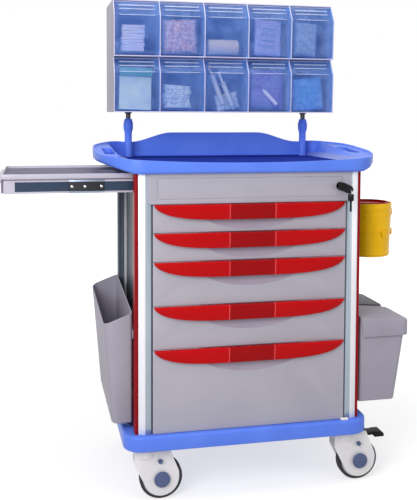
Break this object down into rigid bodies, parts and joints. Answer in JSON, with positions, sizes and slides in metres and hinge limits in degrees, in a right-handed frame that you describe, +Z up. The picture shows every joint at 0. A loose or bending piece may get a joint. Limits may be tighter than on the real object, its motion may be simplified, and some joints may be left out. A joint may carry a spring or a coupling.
{
  "type": "hospital crash cart",
  "caption": "Wheeled hospital crash cart: lockable drawers under a moulded work tray, tilt-bin rack on posts, pull-out side shelf, open pocket, lidded waste bins and a sharps box.",
  "frame": {"origin": "on the floor, below the middle of the whole cart's box with the side shelf pulled out", "axes": "+X to the right of a person facing the drawers, +Y to the back, +Z up"},
  "size_m": [1.221, 0.5867, 1.471],
  "materials": {
    "blue_abs": "satin moulded ABS",
    "aluminium": "satin anodised",
    "red_abs": "gloss moulded ABS",
    "grey_abs": "fine grained ABS",
    "slate_panel": "powder coat",
    "liner": "smooth ABS",
    "chrome": "bright",
    "zinc": "zinc plated",
    "shelf_coat": "fine texture powder coat",
    "black_plastic": "moulded",
    "rack_abs": "moulded",
    "bin_clear": "clear tinted polystyrene",
    "bin_grey": "moulded polypropylene",
    "bin_charcoal": "moulded polypropylene",
    "sharps_yellow": "moulded polypropylene",
    "sharps_red": "moulded polypropylene",
    "castor_white": "moulded nylon",
    "tyre": "black rubber on a nylon hub"
  },
  "bodies": {
    "cart": {"base_deck": "blue_abs", "frame": "aluminium", "accent_strips": "red_abs", "cabinet_panels": "slate_panel", "top_tray": "blue_abs", "lock_panel": "grey_abs", "lock_housing": "chrome", "fixed_rails": "zinc", "bin_rack": "rack_abs", "post_sleeves": "blue_abs", "rack_posts": "chrome", "side_brackets": "zinc", "castor_stems": "zinc"},
    "drawer_1": {"drawer_1_box": "liner", "drawer_1_front": "grey_abs", "drawer_1_handle": "red_abs"},
    "drawer_2": {"drawer_2_box": "liner", "drawer_2_front": "grey_abs", "drawer_2_handle": "red_abs"},
    "drawer_3": {"drawer_3_box": "liner", "drawer_3_front": "grey_abs", "drawer_3_handle": "red_abs"},
    "drawer_4": {"drawer_4_box": "liner", "drawer_4_front": "grey_abs", "drawer_4_handle": "red_abs"},
    "drawer_5": {"drawer_5_box": "liner", "drawer_5_front": "grey_abs", "drawer_5_handle": "red_abs"},
    "shelf": {"shelf_pan": "shelf_coat", "shelf_grip": "shelf_coat"},
    "shelf_slides": {"shelf_mid_slides": "zinc"},
    "lock_key": {"lock_key": "black_plastic"},
    "spare_key": {"spare_key_ring": "black_plastic"},
    "tilt_bin_1_1": {"tilt_bin_1_1": "bin_clear"},
    "tilt_bin_1_2": {"tilt_bin_1_2": "bin_clear"},
    "tilt_bin_1_3": {"tilt_bin_1_3": "bin_clear"},
    "tilt_bin_1_4": {"tilt_bin_1_4": "bin_clear"},
    "tilt_bin_1_5": {"tilt_bin_1_5": "bin_clear"},
    "tilt_bin_2_1": {"tilt_bin_2_1": "bin_clear"},
    "tilt_bin_2_2": {"tilt_bin_2_2": "bin_clear"},
    "tilt_bin_2_3": {"tilt_bin_2_3": "bin_clear"},
    "tilt_bin_2_4": {"tilt_bin_2_4": "bin_clear"},
    "tilt_bin_2_5": {"tilt_bin_2_5": "bin_clear"},
    "left_bin": {"left_bin": "bin_grey"},
    "waste_bin_front": {"waste_bin_front": "bin_grey"},
    "waste_lid_front": {"waste_lid_front": "bin_grey"},
    "waste_bin_rear": {"waste_bin_rear": "bin_charcoal"},
    "waste_lid_rear": {"waste_lid_rear": "bin_charcoal"},
    "sharps_box": {"sharps_box": "sharps_yellow"},
    "sharps_lid": {"sharps_lid": "sharps_red"},
    "castor_front_left": {"castor_front_left": "castor_white"},
    "wheel_front_left": {"wheel_front_left": "tyre"},
    "castor_front_right": {"castor_front_right": "castor_white"},
    "wheel_front_right": {"wheel_front_right": "tyre"},
    "pedal_front_right": {"pedal_front_right": "black_plastic"},
    "castor_rear_left": {"castor_rear_left": "castor_white"},
    "wheel_rear_left": {"wheel_rear_left": "tyre"},
    "pedal_rear_left": {"pedal_rear_left": "black_plastic"},
    "castor_rear_right": {"castor_rear_right": "castor_white"},
    "wheel_rear_right": {"wheel_rear_right": "tyre"}
  },
  "joints": [
    {"name": "drawer_1_slide", "type": "slide", "parent": "cart", "child": "drawer_1", "axis": [0, -1, 0], "range_m": [0, 0.38]},
    {"name": "drawer_2_slide", "type": "slide", "parent": "cart", "child": "drawer_2", "axis": [0, -1, 0], "range_m": [0, 0.38]},
    {"name": "drawer_3_slide", "type": "slide", "parent": "cart", "child": "drawer_3", "axis": [0, -1, 0], "range_m": [0, 0.38]},
    {"name": "drawer_4_slide", "type": "slide", "parent": "cart", "child": "drawer_4", "axis": [0, -1, 0], "range_m": [0, 0.38]},
    {"name": "drawer_5_slide", "type": "slide", "parent": "cart", "child": "drawer_5", "axis": [0, -1, 0], "range_m": [0, 0.38]},
    {"name": "shelf_slide", "type": "slide", "parent": "cart", "child": "shelf", "axis": [1, 0, 0], "range_m": [0, 0.36]},
    {"name": "shelf_mid_slide", "type": "slide", "parent": "cart", "child": "shelf_slides", "axis": [1, 0, 0], "range_m": [0, 0.18]},
    {"name": "lock_turn", "type": "hinge", "parent": "cart", "child": "lock_key", "pos_m": [0.3665, -0.26595, 0.903], "axis": [0, 1, 0], "range_deg": [0, 90]},
    {"name": "spare_key_swing", "type": "hinge", "parent": "lock_key", "child": "spare_key", "pos_m": [0.39254, -0.28495, 0.89141], "axis": [0, -1, 0], "range_deg": [-3, 20]},
    {"name": "tilt_bin_1_1_tilt", "type": "hinge", "parent": "cart", "child": "tilt_bin_1_1", "pos_m": [-0.1887, 0.05785, 1.1261], "axis": [1, 0, 0], "range_deg": [0, 45]},
    {"name": "tilt_bin_1_2_tilt", "type": "hinge", "parent": "cart", "child": "tilt_bin_1_2", "pos_m": [-0.0441, 0.05785, 1.1261], "axis": [1, 0, 0], "range_deg": [0, 45]},
    {"name": "tilt_bin_1_3_tilt", "type": "hinge", "parent": "cart", "child": "tilt_bin_1_3", "pos_m": [0.1005, 0.05785, 1.1261], "axis": [1, 0, 0], "range_deg": [0, 45]},
    {"name": "tilt_bin_1_4_tilt", "type": "hinge", "parent": "cart", "child": "tilt_bin_1_4", "pos_m": [0.2451, 0.05785, 1.1261], "axis": [1, 0, 0], "range_deg": [0, 45]},
    {"name": "tilt_bin_1_5_tilt", "type": "hinge", "parent": "cart", "child": "tilt_bin_1_5", "pos_m": [0.3897, 0.05785, 1.1261], "axis": [1, 0, 0], "range_deg": [0, 45]},
    {"name": "tilt_bin_2_1_tilt", "type": "hinge", "parent": "cart", "child": "tilt_bin_2_1", "pos_m": [-0.1887, 0.05785, 1.3031], "axis": [1, 0, 0], "range_deg": [0, 45]},
    {"name": "tilt_bin_2_2_tilt", "type": "hinge", "parent": "cart", "child": "tilt_bin_2_2", "pos_m": [-0.0441, 0.05785, 1.3031], "axis": [1, 0, 0], "range_deg": [0, 45]},
    {"name": "tilt_bin_2_3_tilt", "type": "hinge", "parent": "cart", "child": "tilt_bin_2_3", "pos_m": [0.1005, 0.05785, 1.3031], "axis": [1, 0, 0], "range_deg": [0, 45]},
    {"name": "tilt_bin_2_4_tilt", "type": "hinge", "parent": "cart", "child": "tilt_bin_2_4", "pos_m": [0.2451, 0.05785, 1.3031], "axis": [1, 0, 0], "range_deg": [0, 45]},
    {"name": "tilt_bin_2_5_tilt", "type": "hinge", "parent": "cart", "child": "tilt_bin_2_5", "pos_m": [0.3897, 0.05785, 1.3031], "axis": [1, 0, 0], "range_deg": [0, 45]},
    {"name": "left_bin_lift", "type": "slide", "parent": "cart", "child": "left_bin", "axis": [0, 0, 1], "range_m": [0, 0.016]},
    {"name": "waste_bin_front_lift", "type": "slide", "parent": "cart", "child": "waste_bin_front", "axis": [0, 0, 1], "range_m": [0, 0.016]},
    {"name": "waste_lid_front_hinge", "type": "hinge", "parent": "waste_bin_front", "child": "waste_lid_front", "pos_m": [0.4496, -0.16665, 0.5005], "axis": [0, -1, 0], "range_deg": [0, 75]},
    {"name": "waste_bin_rear_lift", "type": "slide", "parent": "cart", "child": "waste_bin_rear", "axis": [0, 0, 1], "range_m": [0, 0.016]},
    {"name": "waste_lid_rear_hinge", "type": "hinge", "parent": "waste_bin_rear", "child": "waste_lid_rear", "pos_m": [0.4496, 0.02335, 0.5005], "axis": [0, -1, 0], "range_deg": [0, 75]},
    {"name": "sharps_box_lift", "type": "slide", "parent": "cart", "child": "sharps_box", "axis": [0, 0, 1], "range_m": [0, 0.016]},
    {"name": "sharps_lid_turn", "type": "hinge", "parent": "sharps_box", "child": "sharps_lid", "pos_m": [0.5355, -0.07865, 0.819], "axis": [0, 0, 1], "range_deg": [0, 180]},
    {"name": "castor_front_left_swivel", "type": "hinge", "parent": "cart", "child": "castor_front_left", "pos_m": [-0.2025, -0.21865, 0.159], "axis": [0, 0, 1], "continuous": true},
    {"name": "wheel_front_left_spin", "type": "hinge", "parent": "castor_front_left", "child": "wheel_front_left", "pos_m": [-0.1575, -0.21865, 0.0625], "axis": [0, 1, 0], "continuous": true},
    {"name": "castor_front_right_swivel", "type": "hinge", "parent": "cart", "child": "castor_front_right", "pos_m": [0.4035, -0.21865, 0.159], "axis": [0, 0, 1], "continuous": true},
    {"name": "wheel_front_right_spin", "type": "hinge", "parent": "castor_front_right", "child": "wheel_front_right", "pos_m": [0.4485, -0.21865, 0.0625], "axis": [0, 1, 0], "continuous": true},
    {"name": "pedal_front_right_press", "type": "hinge", "parent": "castor_front_right", "child": "pedal_front_right", "pos_m": [0.4695, -0.21865, 0.141], "axis": [0, 1, 0], "range_deg": [0, 12]},
    {"name": "castor_rear_left_swivel", "type": "hinge", "parent": "cart", "child": "castor_rear_left", "pos_m": [-0.2025, 0.18135, 0.159], "axis": [0, 0, 1], "continuous": true},
    {"name": "wheel_rear_left_spin", "type": "hinge", "parent": "castor_rear_left", "child": "wheel_rear_left", "pos_m": [-0.1575, 0.18135, 0.0625], "axis": [0, 1, 0], "continuous": true},
    {"name": "pedal_rear_left_press", "type": "hinge", "parent": "castor_rear_left", "child": "pedal_rear_left", "pos_m": [-0.1365, 0.18135, 0.141], "axis": [0, 1, 0], "range_deg": [0, 12]},
    {"name": "castor_rear_right_swivel", "type": "hinge", "parent": "cart", "child": "castor_rear_right", "pos_m": [0.4035, 0.18135, 0.159], "axis": [0, 0, 1], "continuous": true},
    {"name": "wheel_rear_right_spin", "type": "hinge", "parent": "castor_rear_right", "child": "wheel_rear_right", "pos_m": [0.4485, 0.18135, 0.0625], "axis": [0, 1, 0], "continuous": true}
  ],
  "couplings": [
    {"joint": "shelf_mid_slide", "follows": "shelf_slide", "ratio": 0.5}
  ]
}
